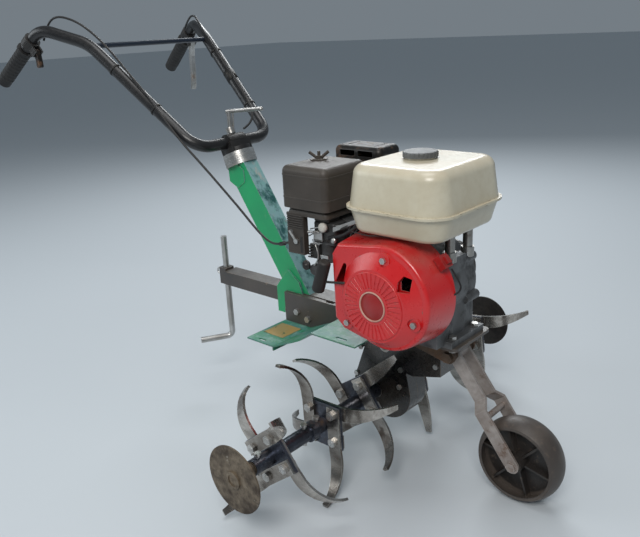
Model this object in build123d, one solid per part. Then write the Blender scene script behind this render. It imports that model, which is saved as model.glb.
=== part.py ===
from build123d import *
from math import atan2, cos, degrees, hypot, pi, radians, sin, tan
import os

os.makedirs("parts", exist_ok=True)

# A walk-behind tiller. Millimetres, X forward, Y to the operator's left, Z up. While the parts are
# drawn the tine axle is above X = 0, Y = 0, and write_parts() moves all of them so that the origin
# is the middle of the machine's footprint box, on the ground.

# ---- driving dimensions -------------------------------------------------------------------------
GAP = 0.3                       # air between parts of different bodies

AXLE_Z = 124.0                  # tine axle
TINE_RADIUS = 140.0             # axle to blade tip
GROUND_Z = AXLE_Z - TINE_RADIUS + 4  # lowest reach of the blades as they stand
HUB_Y = (88.0, 196.0, 340.0)    # inner, middle and outer tine flange planes
RIGHT_TURN = (-56.0, 91.0, 38.0)  # how far each right-hand blade set is turned
LEFT_TURN = (9.0, 118.0, 5.0)
BLADE = 5.0                     # blade thickness
FLANGE = 6.0                    # tine flange thickness
FLANGE_SIDE = 92.0
HUB_TUBE_R = 15.0
AXLE_R = 12.0
DISC_Y = 430.0
DISC_R = 64.0

WHEEL_X = 321.0
WHEEL_R = 83.0
WHEEL_WIDTH = 56.0
PIVOT_X, PIVOT_Z = 183.0, 256.0  # wheel fork pivot

DECK_Z = 300.0                  # top of the engine deck
RAIL_Y = 33.0                   # outer face of the frame rails
PLATE = 4.0                     # frame plate thickness
BEAM_TOP, BEAM_BOTTOM, BEAM_HALF = 296.0, 262.0, 20.0
STAKE_X, STAKE_R = -487.0, 7.5

CRANK_X, CRANK_Z = 130.0, 406.0  # crankshaft axis of the engine
CRANK_R = 10.0
SHAFT_X, SHAFT_Z, SHAFT_R = 25.0, 232.0, 9.0  # reduction input shaft
BELT_Y0, BELT_Y1 = 48.0, 58.0   # belt groove
SPROCKET_R, PINION_R = 44.0, 11.0

COLUMN_FOOT = (-221.0, 297.0)   # column centre line where it meets the drawbar
HEAD = (-395.6, 566.5)          # underside of the index ring
HEAD_LEAN = 22.0                # swivel axis, degrees back from upright
COLUMN_DEEP, COLUMN_WIDE, COLUMN_WALL = 58.0, 2 * BEAM_HALF + 0.4, 4.0
CHEEK_Y = 25.0
RING_R, RING_HEIGHT = 37.0, 29.0

TUBE_R, TUBE_BORE = 13.5, 11.5  # handlebar tube
TUBE_RISE = 55.0                # swivel base to the handlebar's centre line
BAR_BEND = (-690.0, 172.0, 846.0)
BAR_TOP = (-800.0, 226.0, 884.0)
BAR_END = (-958.0, 254.0, 770.0)
BAR_HALF_BASE = 110.0           # half the straight base of the handlebar
GRIP_LENGTH = 122.0


# ---- shape helpers ------------------------------------------------------------------------------
def block(x0, x1, y0, y1, z0, z1):
    """Box between two corners."""
    return Pos((x0 + x1) / 2, (y0 + y1) / 2, (z0 + z1) / 2) * Box(x1 - x0, y1 - y0, z1 - z0)


def rod(start, end, radius):
    """Round bar between two points."""
    a, b = Vector(start), Vector(end)
    length = (b - a).length
    return Plane(origin=a, z_dir=b - a) * Cylinder(radius, length, align=(Align.CENTER, Align.CENTER, Align.MIN))


def axle(x, z, radius, y0, y1):
    """Round bar that lies across the machine."""
    return rod((x, y0, z), (x, y1, z), radius)


def hexagon(x, z, across, y0, y1):
    """Bolt head or nut that lies across the machine."""
    return slab(Pos(x, z) * RegularPolygon(across / 2, 6, major_radius=False), y0, y1)


def face(*points):
    """Closed sketch through points given as (x, z)."""
    return make_face(Polyline(*points, close=True))


def spot(x, z, radius):
    return Pos(x, z) * Circle(radius)


def hull(*spots):
    """Sketch stretched round several circles, each (x, z, radius)."""
    return make_hull(ShapeList([spot(*s).edge() for s in spots]))


def slab(sketch, y0, y1):
    """A sketch of X and Z that stands between two Y planes."""
    return extrude(Plane(origin=(0, y1, 0), x_dir=(1, 0, 0), z_dir=(0, -1, 0)) * sketch, y1 - y0)


def mirrored(shape):
    """The same part on the other side of the machine."""
    return mirror(shape, Plane.XZ)


def both(shape):
    """A part and its mirror image as two solids."""
    return Compound(children=[shape, mirrored(shape)])


def group(*shapes):
    """Separate solids that share a node."""
    return Compound(children=[solid for shape in shapes for solid in shape.solids()])


def cable(points, radius):
    """Cable of straight runs joined by tangent arcs, each as large as its runs allow."""
    spots = [Vector(p) for p in points]
    bends = []
    for before, at, after in zip(spots, spots[1:], spots[2:]):
        turn = radians((at - before).get_angle(after - at))
        bends.append(0.45 * min((at - before).length, (after - at).length) / tan(turn / 2))
    route = FilletPolyline(*spots, radius=bends)
    section = Plane(origin=spots[0], z_dir=spots[1] - spots[0]) * Circle(radius)
    tube = sweep(section, path=route)
    print("cable length", round(route.length), "least bend", round(min(bends)))
    print("  volume over section times length", round(tube.volume / (pi * radius**2 * route.length), 3))
    return tube


def tilted(x, z, lean):
    """Plane whose normal leans back by some degrees from upright."""
    a = radians(lean)
    return Plane(origin=(x, 0, z), x_dir=(cos(a), 0, sin(a)), z_dir=(-sin(a), 0, cos(a)))


def upright(radius, z0, z1):
    """Cylinder on the local Z axis."""
    return Pos(0, 0, (z0 + z1) / 2) * Cylinder(radius, z1 - z0)


head = tilted(*HEAD, HEAD_LEAN)
column_lean = degrees(atan2(COLUMN_FOOT[0] - HEAD[0], HEAD[1] - COLUMN_FOOT[1]))
column_frame = tilted(*COLUMN_FOOT, column_lean)
bar_base = head.from_local_coords((0, 0, TUBE_RISE))


# ---- frame --------------------------------------------------------------------------------------
RAIL_REAR, RAIL_FRONT = -252.0, 205.0
RAIL_LOW, RAIL_MID = 222.0, 270.0
SLOTS_X, SLOT_Y = (-122.0, -30.0), 24.8
FRAME_BOLTS = ((-214.0, 254.0), (-182.0, 243.0), (78.0, 276.0), (120.0, 276.0))
BOLT_R = 4.0
FEET_X = (CRANK_X - 81.0, CRANK_X + 81.0)
FEET_Y = (-67.75, 7.75)
BRACKET_Y0, BRACKET_Y1 = RAIL_Y + 0.4, RAIL_Y + 5.4
FORK_TOP_Y, FORK_LOW_Y, FORK_PLATE = 15.0, 33.0, 5.0


def frame_rail():
    """Left-hand frame rail: a web with its flange turned in against the drawbar."""
    top = DECK_Z - 6
    web = face(
        (RAIL_REAR, top), (RAIL_REAR, RAIL_LOW), (-178, RAIL_LOW), (-92, RAIL_MID - 8),
        (-60, RAIL_MID), (RAIL_FRONT, RAIL_MID), (RAIL_FRONT, top),
    )
    rail = slab(web, RAIL_Y - PLATE, RAIL_Y)
    rail += block(RAIL_REAR, RAIL_FRONT, BEAM_HALF + 0.2, RAIL_Y, top - PLATE, top)
    for x in SLOTS_X:
        hole = SlotCenterToCenter(15, 7)
        rail -= Pos(x, SLOT_Y, top - PLATE - 1) * extrude(hole, PLATE + 2)
    for x, z in FRAME_BOLTS:
        rail -= axle(x, z, BOLT_R + 0.2, BEAM_HALF, RAIL_Y + 1)
    return rail


def engine_deck():
    deck = block(20, 228, -84, 40, DECK_Z - 6, DECK_Z)
    deck = fillet(deck.edges().filter_by(Axis.Z), 10)
    for x in FEET_X:
        for y in FEET_Y:
            deck -= Pos(x, y, DECK_Z - 7) * extrude(SlotCenterToCenter(10, 9), 8)
    return deck


def drawbar():
    """Square tube behind the frame with the stake socket welded on its end."""
    x0, x1 = STAKE_X + 13, -60
    tube = block(x0, x1, -BEAM_HALF, BEAM_HALF, BEAM_BOTTOM, BEAM_TOP)
    tube -= block(x0 + 4, x1 + 1, -BEAM_HALF + 3, BEAM_HALF - 3, BEAM_BOTTOM + 3, BEAM_TOP - 3)
    socket = block(STAKE_X - 13, x0, -14, 14, BEAM_BOTTOM - 3, BEAM_TOP + 5)
    socket = fillet(socket.edges().filter_by(Axis.Z), 3)
    bar = tube + socket
    bar -= rod((STAKE_X, 0, 200), (STAKE_X, 0, 340), STAKE_R + 0.3)
    bar -= rod((STAKE_X - 20, 0, 285), (STAKE_X, 0, 285), BOLT_R + 0.1)
    return bar


def frame_bolts():
    """Through bolts of the frame with their nuts and spacers, and the stake's eye screw."""
    pieces = []
    for x, z in FRAME_BOLTS:
        out = RAIL_Y if x < 0 else BRACKET_Y1
        shank = axle(x, z, BOLT_R, -out - 6, out + 4.5)
        pieces.append(shank + hexagon(x, z, 13, -out - 6, -out - 0.1))
        pieces.append(hexagon(x, z, 13, out + 0.1, out + 4.5) - axle(x, z, BOLT_R + 0.05, 0, 60))
        if z < BEAM_BOTTOM - BOLT_R:
            spacer = axle(x, z, 7, -RAIL_Y + PLATE, RAIL_Y - PLATE)
            pieces.append(spacer - axle(x, z, BOLT_R + 0.1, -40, 40))
    eye_x = STAKE_X - 13
    screw = rod((eye_x - 8, 0, 285), (STAKE_X - STAKE_R - 0.4, 0, 285), BOLT_R)
    eye = Plane(origin=(eye_x - 14, 0, 285), z_dir=(0, 1, 0)) * Torus(7.5, 2)
    pieces.append(screw + eye)
    return group(*pieces)


def left_fender():
    """Bent fender: low strip behind the tines, slope, and a plate under the deck."""
    line = [(-254, 225), (-174, 225), (-94, 261), (-63, 284), (50, 284)]
    thick = 3
    lower = [(x, z - thick) for x, z in line]
    sheet = slab(face(*line, *reversed(lower)), RAIL_Y + 0.2, 153)
    sheet += block(-176.5, -174, RAIL_Y + 0.2, 153, 214, 224)
    corners = sheet.edges().filter_by(Axis.Z).sort_by(Axis.X)
    sheet = fillet(corners[-1], 14)
    sheet -= Pos(-217, 142, 215) * extrude(SlotCenterToCenter(14, 7), 20)
    sheet -= Pos(5, 138, 275) * extrude(SlotCenterToCenter(20, 7), 20)
    return sheet


def belt_window():
    """Space in the left fender that the belt guard stands in."""
    return block(-45, 140, 41, 66.5, 255, 300)


# ---- column and handlebar -----------------------------------------------------------------------
def column():
    """Box column with its cheeks astride the drawbar and the ears below the index ring."""
    half = COLUMN_WIDE / 2
    hollow = (COLUMN_DEEP - 2 * COLUMN_WALL, COLUMN_WIDE - 2 * COLUMN_WALL)
    above = head * Pos(0, 0, 100) * Box(300, 300, 200)
    below = block(-400, 0, -100, 100, 100, BEAM_TOP)
    tube = column_frame * Pos(0, 0, 140) * Box(COLUMN_DEEP, COLUMN_WIDE, 480)
    bore = column_frame * Pos(0, 0, 140) * Box(*hollow, 482)
    post = tube - bore - above - below
    cheek = face((-283, 238), (-262, 238), (-254.5, 294.7), (-203, 294.7), (-212, 320), (-246, 345), (-283, 300))
    ear = column_frame * Pos(-10, 0, 302) * Rot(90, 0, 0) * extrude(RegularPolygon(29, 6), 1, both=True)
    for side in (1, -1):
        y0, y1 = sorted((side * half, side * CHEEK_Y))
        post += slab(cheek, y0, y1) - column_frame * Pos(0, 0, 140) * Box(*hollow, 482)
        post += (Pos(0, side * (half + 1), 0) * ear) - above
    return post


def index_ring():
    ring = upright(RING_R, 0, RING_HEIGHT) - upright(6.1, -1, RING_HEIGHT + 1)
    for z in (7, 12, 21):
        ring -= upright(RING_R + 1, z, z + 1.6) - upright(RING_R - 1.4, z - 1, z + 3)
    return head * ring


def saddle():
    """Lower block and cap that hold the handlebar's base."""
    z0 = RING_HEIGHT + GAP
    low = upright(31, z0, z0 + 10) + Pos(0, 0, (z0 + TUBE_RISE) / 2 - 0.5) * Box(42, 58, TUBE_RISE - z0 - 1)
    cap = Pos(0, 0, TUBE_RISE) * Rot(90, 0, 0) * Cylinder(19, 50)
    cap -= Pos(0, 0, TUBE_RISE - 20) * Box(60, 80, 41)
    tube = Pos(0, 0, TUBE_RISE) * Rot(90, 0, 0) * Cylinder(TUBE_R + 0.02, 100)
    bolt = upright(6.1, 0, 120)
    return group(head * (low - tube - bolt), head * (cap - tube - bolt))


def bar_points():
    """Handlebar centre line from the right grip to the left one."""
    left = [(bar_base.X, BAR_HALF_BASE, bar_base.Z), BAR_BEND, BAR_TOP, BAR_END]
    right = [(x, -y, z) for x, y, z in reversed(left)]
    return right + left


def bar_solid(radius):
    points = bar_points()
    route = FilletPolyline(*points, radius=[60, 120, 50, 50, 120, 60])
    section = Plane(origin=points[0], z_dir=Vector(points[1]) - Vector(points[0])) * Circle(radius)
    return sweep(section, path=route)


def handlebar():
    return bar_solid(TUBE_R) - bar_solid(TUBE_BORE) - head * upright(6.2, 0, 120)


def crossbar():
    """Brace between the handlebar arms."""
    x, y, z = BAR_BEND
    brace = axle(x + 6, z - 5, 6, -y + 4, y - 4)
    return brace - bar_solid(TUBE_R + 0.05)


def grip_frame():
    """Local frame of the left grip: Z along the tube towards its end, Y roughly down."""
    top, end = Vector(BAR_TOP), Vector(BAR_END)
    along = (end - top).normalized()
    down = Vector(0, 0, -1) - along * along.dot(Vector(0, 0, -1))
    return Plane(origin=end, x_dir=down.cross(along), z_dir=along)


grip_plane = grip_frame()


def grips():
    grip = upright(16.5, -GRIP_LENGTH, 7) + upright(20, -GRIP_LENGTH, -GRIP_LENGTH + 5)
    for k in range(9):
        z = -GRIP_LENGTH + 16 + 11 * k
        grip += upright(17.3, z, z + 4)
    grip -= upright(TUBE_R + 0.05, -GRIP_LENGTH - 1, 0.1)
    return both(grip_plane * grip)


LEVER_Z = -148.0    # lever clamps, from the tube's end
LEVER_DROP = 27.0   # tube centre to lever pivot


def lever_clamps():
    """Clamp on each arm with two cheeks that carry a lever."""
    clamp = upright(18.5, LEVER_Z - 11, LEVER_Z + 11) - upright(TUBE_R + 0.05, LEVER_Z - 20, LEVER_Z + 20)
    for side in (1, -1):
        cheek = Pos(side * 8.5, 24, LEVER_Z) * Box(4, 20, 18)
        clamp += cheek - upright(TUBE_R + 0.05, LEVER_Z - 20, LEVER_Z + 20)
    clamp += Pos(0, LEVER_DROP, LEVER_Z) * Rot(0, 90, 0) * Cylinder(3, 22)
    return both(grip_plane * clamp)


def lever_bar(spots, width):
    """Lever drawn in the grip's plane, each spot (along the tube, down, radius)."""
    shape = None
    for a, b in zip(spots, spots[1:]):
        link = hull((a[0], a[1], a[2]), (b[0], b[1], b[2]))
        shape = link if shape is None else shape + link
    # sketch X is along the tube and sketch Y is down from it
    turn = Plane(origin=(0, LEVER_DROP, LEVER_Z), x_dir=(0, 0, 1), z_dir=(-1, 0, 0))
    solid = extrude(turn * shape, width / 2, both=True)
    return solid - Pos(0, LEVER_DROP, LEVER_Z) * Rot(0, 90, 0) * Cylinder(3.06, 30)


def clutch_lever():
    spots = [(0, 0, 7.5), (26, 26, 6), (52, 60, 5.5), (76, 86, 5.5), (84, 92, 5)]
    return grip_plane * lever_bar(spots, 12)


def throttle_lever():
    spots = [(0, 0, 7.5), (6, 16, 4.5), (14, 28, 5)]
    return mirrored(grip_plane * lever_bar(spots, 12))


def clamp_handle():
    """Clamp bolt through the ring and saddle, its nut boss, post and cross handle."""
    top = TUBE_RISE + 19
    bolt = upright(6, -3, top + 14) + upright(13, -12, -GAP)
    bolt += upright(10, top + GAP, top + 14) + rod((0, 0, top + 8), (16, 0, top + 50), 5.5)
    bar = rod((12, -6, top + 49), (50, 66, top + 34), 4.5)
    brace = rod((4, 6, top + 8), (20, 8, top + 45), 2.2)
    return head * (bolt + bar + brace + Pos(50, 66, top + 34) * Sphere(5.5))


def bar_cables():
    """The two control cables where the handlebar carries them."""
    clutch = [(-806, 196, 868), (-790, 203, 900), (-745, 188, 902), (-700, 163, 878), (-655, 151, 845),
              (-600, 138, 802), (-545, 127, 754), (-490, 112, 711), (-448, 96, 670), (-430, 66, 648),
              (-427, 42, 641)]
    throttle = [(-812, -214, 858), (-815, -200, 890), (-775, -196, 912), (-725, -178, 899),
                (-680, -163, 869), (-630, -154, 827), (-580, -150, 780), (-530, -145, 737),
                (-494.7, -141.1, 697.8)]
    return group(cable(clutch, 2.5), cable(throttle, 2.5))


def control_cables():
    """The cables' free run from the handlebar down to the engine."""
    throttle = [(-494, -141, 697), (-442, -136, 640), (-392, -126, 594), (-342, -117, 546),
                (-293, -109, 499), (-250, -107, 461), (-208, -119, 447), (-168, -137, 448),
                (-132, -151, 457), (-101, -157, 467)]
    return cable(throttle, 2.5)


# ---- tine rotor ---------------------------------------------------------------------------------
def blade(lateral):
    """One sabre blade in its own frame: X out from the axle, Y across, Z along the axle.
    It bends by lateral towards +Z and is drawn from the middle of its thickness."""
    straight = 58.0
    forward = TINE_RADIUS - 6 - straight
    turn = 2 * atan2(lateral, forward)
    radius = forward / sin(turn)

    def arc_point(r, share):
        a = turn * share
        return (straight + r * sin(a), radius - r * cos(a))

    near, far = radius - BLADE / 2, radius + BLADE / 2
    edge = Polyline(arc_point(near, 0), (-44, BLADE / 2), (-44, -BLADE / 2), arc_point(far, 0))
    outer = ThreePointArc(arc_point(far, 0), arc_point(far, 0.5), arc_point(far, 1))
    end = Line(arc_point(far, 1), arc_point(near, 1))
    inner = ThreePointArc(arc_point(near, 1), arc_point(near, 0.5), arc_point(near, 0))
    side = make_face(ShapeList(edge.edges() + outer.edges() + end.edges() + inner.edges()))
    strip = extrude(Plane.XZ * Pos(0, 0) * side, 60, both=True)

    tip = TINE_RADIUS - 6
    plan_edge = Polyline((36, 17), (-44, 17), (-44, 45), (40, 46))
    upper = ThreePointArc((40, 46), (94, 52), (tip + 2, 55))
    nose = Line((tip + 2, 55), (tip + 2, 45))
    lower = ThreePointArc((tip + 2, 45), (92, 26), (36, 17))
    plan = make_face(ShapeList(plan_edge.edges() + upper.edges() + nose.edges() + lower.edges()))
    return strip & (Pos(0, 0, -20) * extrude(plan, 120))


COLLAR_Y = 225.0     # where the two hub lengths meet
HUB_END = 388.0
PIN_Y = (217.0, 252.0, 372.0)
BLADE_BOLT = 29.0    # bolt circle corner of a tine flange, from the axle both ways
OUTWARD, INWARD = 58.0, 58.0
INNER_INWARD = 14.0  # the innermost blades keep clear of the belt guard


def hub_frame(y, turn):
    """Frame of a right-hand blade set: Z outboard along the axle, X out at the turn angle."""
    a = radians(turn)
    return Plane(origin=(0, -y, AXLE_Z), x_dir=(cos(a), 0, sin(a)), z_dir=(0, -1, 0))


def tines(turns):
    """Right-hand blades: four on each flange, two bent outboard and two inboard."""
    pieces = []
    offset = (FLANGE + BLADE) / 2
    for y, turn in zip(HUB_Y, turns):
        inward = INNER_INWARD if y == HUB_Y[0] else INWARD
        for k in range(4):
            place = hub_frame(y, turn) * Rot(0, 0, 90 * k)
            if k % 2 == 0:
                shape = Pos(0, 0, offset) * blade(OUTWARD)
            else:
                shape = Pos(0, 0, -offset) * mirror(blade(inward), Plane.XY)
            for bolt_x in (-BLADE_BOLT, BLADE_BOLT):
                shape -= Pos(bolt_x, BLADE_BOLT, 0) * Cylinder(5.2, 60)
            pieces.append(place * shape)
    return group(*pieces)


def hubs(turns):
    """Right-hand hub tube with its three square tine flanges, in two lengths that meet at a
    collar."""
    pieces = []
    spans = ((RAIL_Y - PLATE + 0.2, COLLAR_Y, HUB_Y[:2]), (COLLAR_Y, HUB_END, HUB_Y[2:]))
    for y0, y1, planes in spans:
        tube = axle(0, AXLE_Z, HUB_TUBE_R, -y0, -y1)
        if y0 > 100:
            tube += axle(0, AXLE_Z, HUB_TUBE_R + 4, -y0, -y0 - 18)
        for y in planes:
            plate = Box(FLANGE_SIDE, FLANGE_SIDE, FLANGE)
            for sx in (-1, 1):
                for sy in (-1, 1):
                    plate -= Pos(sx * BLADE_BOLT, sy * BLADE_BOLT, 0) * Cylinder(5.2, 20)
            tube += hub_frame(y, turns[HUB_Y.index(y)]) * plate
        tube -= axle(0, AXLE_Z, AXLE_R + 0.1, -y0 + 1, -y1 - 1)
        for pin_y in PIN_Y:
            tube -= rod((0, -pin_y, AXLE_Z - 30), (0, -pin_y, AXLE_Z + 30), 4.1)
        pieces.append(tube)
    return group(*pieces)


def tine_axle():
    """Output shaft with its chain sprocket."""
    shaft = axle(0, AXLE_Z, AXLE_R, -358, 358) + axle(0, AXLE_Z, SPROCKET_R, -4, 4)
    for y in PIN_Y[:2]:
        for side in (-1, 1):
            shaft -= rod((0, side * y, AXLE_Z - 30), (0, side * y, AXLE_Z + 30), 4.1)
    return shaft


def hub_discs():
    """Guard disc on its stub, dished in the middle, at both ends."""
    disc = axle(0, AXLE_Z, DISC_R, DISC_Y - 1.5, DISC_Y + 1.5)
    disc += axle(0, AXLE_Z, 17, DISC_Y - 2, DISC_Y + 5)
    disc -= axle(0, AXLE_Z, 11, DISC_Y + 3, DISC_Y + 9)
    disc += axle(0, AXLE_Z, 9.5, HUB_END, DISC_Y)
    disc += axle(0, AXLE_Z, AXLE_R, 362, HUB_END + 1)
    return both(disc - rod((0, PIN_Y[2], AXLE_Z - 30), (0, PIN_Y[2], AXLE_Z + 30), 4.1))


def side_bolts(turns):
    """Right-hand blade bolts with nuts, and the pins that hold the hub sections on the axle."""
    pieces = []
    reach = FLANGE / 2 + BLADE
    for y, turn in zip(HUB_Y, turns):
        for sx in (-1, 1):
            for sy in (-1, 1):
                bolt = upright(5, -reach - 4, reach + 6.5)
                bolt += Pos(0, 0, reach) * extrude(RegularPolygon(8, 6, major_radius=False), 6)
                nut = Pos(0, 0, -reach - 7) * extrude(RegularPolygon(8, 6, major_radius=False), 6.9)
                nut -= upright(5.05, -30, 0)
                spot_at = Pos(sx * BLADE_BOLT, sy * BLADE_BOLT, 0)
                pieces += [hub_frame(y, turn) * spot_at * bolt, hub_frame(y, turn) * spot_at * nut]
    for y in PIN_Y:
        pin = rod((0, -y, AXLE_Z - 22), (0, -y, AXLE_Z + 20), 4)
        pieces.append(pin + rod((0, -y, AXLE_Z + 20), (0, -y, AXLE_Z + 24), 6.5))
    return pieces


def tine_bolts():
    return group(*side_bolts(RIGHT_TURN), *[mirrored(piece) for piece in side_bolts(LEFT_TURN)])


# ---- chain case and belt drive ------------------------------------------------------------------
CASE_HALF = 28.0
CASE_BOLTS = ((-50, 150), (-36, 215), (-12, 262), (62, 262), (66, 190), (62, 150), (0, 70), (150, 222))


def case_half(y0, y1, cavity_y):
    """Half of the chain case. The lug in front carries the wheel bracket's stay."""
    shell = hull((0, AXLE_Z, 58), (26, 132, 62), (SHAFT_X, SHAFT_Z, 44))
    shell += face((-18, 232), (100, 232), (100, 284), (-18, 284))
    shell += face((40, 190), (95, 184), (160, 202), (160, 240), (100, 262), (50, 262))
    cavity = hull((0, AXLE_Z, 50), (SHAFT_X, SHAFT_Z, 34))
    half = slab(shell, y0, y1) - slab(cavity, *cavity_y)
    half -= axle(0, AXLE_Z, 16, -60, 60) + axle(SHAFT_X, SHAFT_Z, 13, -60, 60)
    for x, z in CASE_BOLTS:
        half -= axle(x, z, 3.2, -60, 60)
    x, z = FRAME_BOLTS[2]
    return half - axle(x, z, BOLT_R + 0.1, -60, 60)


def gear_case():
    return case_half(-CASE_HALF, 0, (-15, 1))


def gear_case_cover():
    return case_half(0, CASE_HALF, (-1, 15))


def shaft_bearings():
    """Flanged bushes of the tine axle and the input shaft, and the case screws."""
    pieces = []
    for side in (-1, 1):
        y0, y1 = sorted((side * 15.2, side * CASE_HALF))
        pieces.append(axle(0, AXLE_Z, 15.98, y0, y1) - axle(0, AXLE_Z, AXLE_R + 0.06, -60, 60))
        pieces.append(axle(SHAFT_X, SHAFT_Z, 12.98, y0, y1) - axle(SHAFT_X, SHAFT_Z, SHAFT_R + 0.06, -60, 60))
    for x, z in CASE_BOLTS:
        screw = axle(x, z, 3.1, -CASE_HALF - 4, CASE_HALF - 4)
        pieces.append(screw + hexagon(x, z, 10, -CASE_HALF - 4, -CASE_HALF - 0.05))
    return group(*pieces)


def loop(a, b, clear, thick, y0, y1):
    """Belt or chain round two wheels, each (x, z, radius)."""
    outer = hull((a[0], a[1], a[2] + clear + thick), (b[0], b[1], b[2] + clear + thick))
    inner = hull((a[0], a[1], a[2] + clear), (b[0], b[1], b[2] + clear))
    return slab(outer - inner, y0, y1)


def drive_chain():
    return loop((0, AXLE_Z, SPROCKET_R), (SHAFT_X, SHAFT_Z, PINION_R), 0.4, 4, -3, 3)


def input_shaft():
    shaft = axle(SHAFT_X, SHAFT_Z, SHAFT_R, -26, BELT_Y1 + 3)
    return shaft + axle(SHAFT_X, SHAFT_Z, PINION_R, -4, 4)


DRIVEN_ROOT, DRIVE_ROOT, GROOVE = 38.0, 25.0, 8.0


def pulley(x, z, root, bore, hub_y0):
    """V-belt pulley with its hub."""
    wheel = axle(x, z, root + GROOVE, BELT_Y0 - 2.5, BELT_Y1 + 2.5)
    wheel -= axle(x, z, root + GROOVE + 1, BELT_Y0, BELT_Y1) - axle(x, z, root, BELT_Y0 - 1, BELT_Y1 + 1)
    wheel += axle(x, z, bore + 6, hub_y0, BELT_Y0)
    return wheel - axle(x, z, bore + 0.05, 0, 90)


def driven_pulley():
    return pulley(SHAFT_X, SHAFT_Z, DRIVEN_ROOT, SHAFT_R, 34)


def drive_pulley():
    return pulley(CRANK_X, CRANK_Z, DRIVE_ROOT, CRANK_R, 40)


def drive_belt():
    a, b = (CRANK_X, CRANK_Z, DRIVE_ROOT), (SHAFT_X, SHAFT_Z, DRIVEN_ROOT)
    return loop(a, b, 0.4, 7, BELT_Y0 + 0.5, BELT_Y1 - 0.5)


IDLER_PIVOT = (44.0, 398.0)
IDLER = (22.0, 352.0)
IDLER_R = 14.0
GUARD_Y0, GUARD_Y1 = 43.0, 64.0


def guard_outline(inset):
    spots = ((CRANK_X, CRANK_Z, 50), (SHAFT_X, SHAFT_Z, 54), (16, 362, 30), (44, 398, 30))
    return hull(*[(x, z, r - inset) for x, z, r in spots])


def belt_guard():
    """Pressed cover over the belt, with the idler's pivot and the stand-offs to the engine."""
    guard = slab(guard_outline(0), GUARD_Y0, GUARD_Y1) - slab(guard_outline(2), GUARD_Y0 - 1, GUARD_Y1 - 2)
    x, z = IDLER_PIVOT
    guard += axle(x, z, 4, 48, GUARD_Y1 - 1)
    for x, z in ((172, 426), (96, 346)):
        stand = axle(x, z, 5, 28, GUARD_Y1 - 1)
        guard += stand
    return guard


def belt_idler():
    """Clutch idler on its arm."""
    (px, pz), (x, z) = IDLER_PIVOT, IDLER
    arm = slab(hull((px, pz, 8), (x, z, 7)), BELT_Y1 + 0.4, GUARD_Y1 - 2.4)
    return arm + axle(x, z, IDLER_R, BELT_Y0, BELT_Y1 + 1) - axle(px, pz, 4.06, 0, 90)


# ---- wheel arm ----------------------------------------------------------------------------------
def wheel_bracket():
    """Two bars outside the rails that carry the fork's pivot bolt."""
    bar = slab(hull((PIVOT_X, PIVOT_Z, 14), (76, 277, 12)), BRACKET_Y0, BRACKET_Y1)
    bar -= axle(PIVOT_X, PIVOT_Z, 6.05, 0, 60)
    for x, z in FRAME_BOLTS[2:]:
        bar -= axle(x, z, BOLT_R + 0.2, 0, 60)
    bolt = axle(PIVOT_X, PIVOT_Z, 6, -BRACKET_Y1 - 7, BRACKET_Y1 + 10)
    bolt += hexagon(PIVOT_X, PIVOT_Z, 19, -BRACKET_Y1 - 7, -BRACKET_Y1 - 0.05)
    nut = hexagon(PIVOT_X, PIVOT_Z, 19, BRACKET_Y1 + 0.05, BRACKET_Y1 + 8)
    nut -= axle(PIVOT_X, PIVOT_Z, 6.05, 0, 90)
    spacer = axle(PIVOT_X, PIVOT_Z, 11, FORK_TOP_Y + FORK_PLATE + 0.3, BRACKET_Y0 - 0.05)
    spacer -= axle(PIVOT_X, PIVOT_Z, 6.05, 0, 60)
    return group(both(bar), both(spacer), bolt, nut)


WHEEL_Z = GROUND_Z + WHEEL_R


def fork_point(share, side=0.0):
    """Point on the fork from the pivot (0) to the wheel axle (1), set off sideways."""
    dx, dz = WHEEL_X - PIVOT_X, WHEEL_Z - PIVOT_Z
    length = hypot(dx, dz)
    return (PIVOT_X + dx * share - dz / length * side, PIVOT_Z + dz * share + dx / length * side)


def wheel_fork():
    """Two flat bars that step outward half way down, with their spacer and the pivot bush."""
    length = hypot(WHEEL_X - PIVOT_X, WHEEL_Z - PIVOT_Z)
    outline_2d = hull((*fork_point(0), 13.5), (*fork_point(1), 13.5))
    step_out = FORK_LOW_Y - FORK_TOP_Y
    y_in, y_out = FORK_TOP_Y, FORK_TOP_Y + FORK_PLATE
    along = [(-20, y_in), (length * 0.44, y_in), (length * 0.52, y_in + step_out),
             (length + 20, y_in + step_out), (length + 20, y_out + step_out),
             (length * 0.51, y_out + step_out), (length * 0.43, y_out), (-20, y_out)]
    direction = Vector(WHEEL_X - PIVOT_X, 0, WHEEL_Z - PIVOT_Z).normalized()
    across = Plane(origin=(PIVOT_X, 0, PIVOT_Z), x_dir=direction, z_dir=direction.cross(Vector(0, 1, 0)))
    profile = extrude(across * make_face(Polyline(*along, close=True)), 40, both=True)
    bar = slab(outline_2d, 0, 60) & profile
    bar -= axle(PIVOT_X, PIVOT_Z, 6.06, 0, 60)
    bar -= axle(WHEEL_X, WHEEL_Z, 5.1, 0, 60)
    sx, sz = fork_point(0.575)
    spacer = axle(sx, sz, 6, -FORK_LOW_Y + 0.1, FORK_LOW_Y - 0.1)
    bush = axle(PIVOT_X, PIVOT_Z, 13, -FORK_TOP_Y + 0.1, FORK_TOP_Y - 0.1)
    bush -= axle(PIVOT_X, PIVOT_Z, 6.06, -60, 60)
    outer = FORK_LOW_Y + FORK_PLATE
    bolt = axle(WHEEL_X, WHEEL_Z, 5, -outer - 6, outer + 10)
    bolt += hexagon(WHEEL_X, WHEEL_Z, 16, -outer - 6, -outer - 0.05)
    nut = hexagon(WHEEL_X, WHEEL_Z, 16, outer + 0.05, outer + 7) - axle(WHEEL_X, WHEEL_Z, 5.05, 0, 60)
    return group(both(bar), spacer, bush, bolt, nut)


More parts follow.
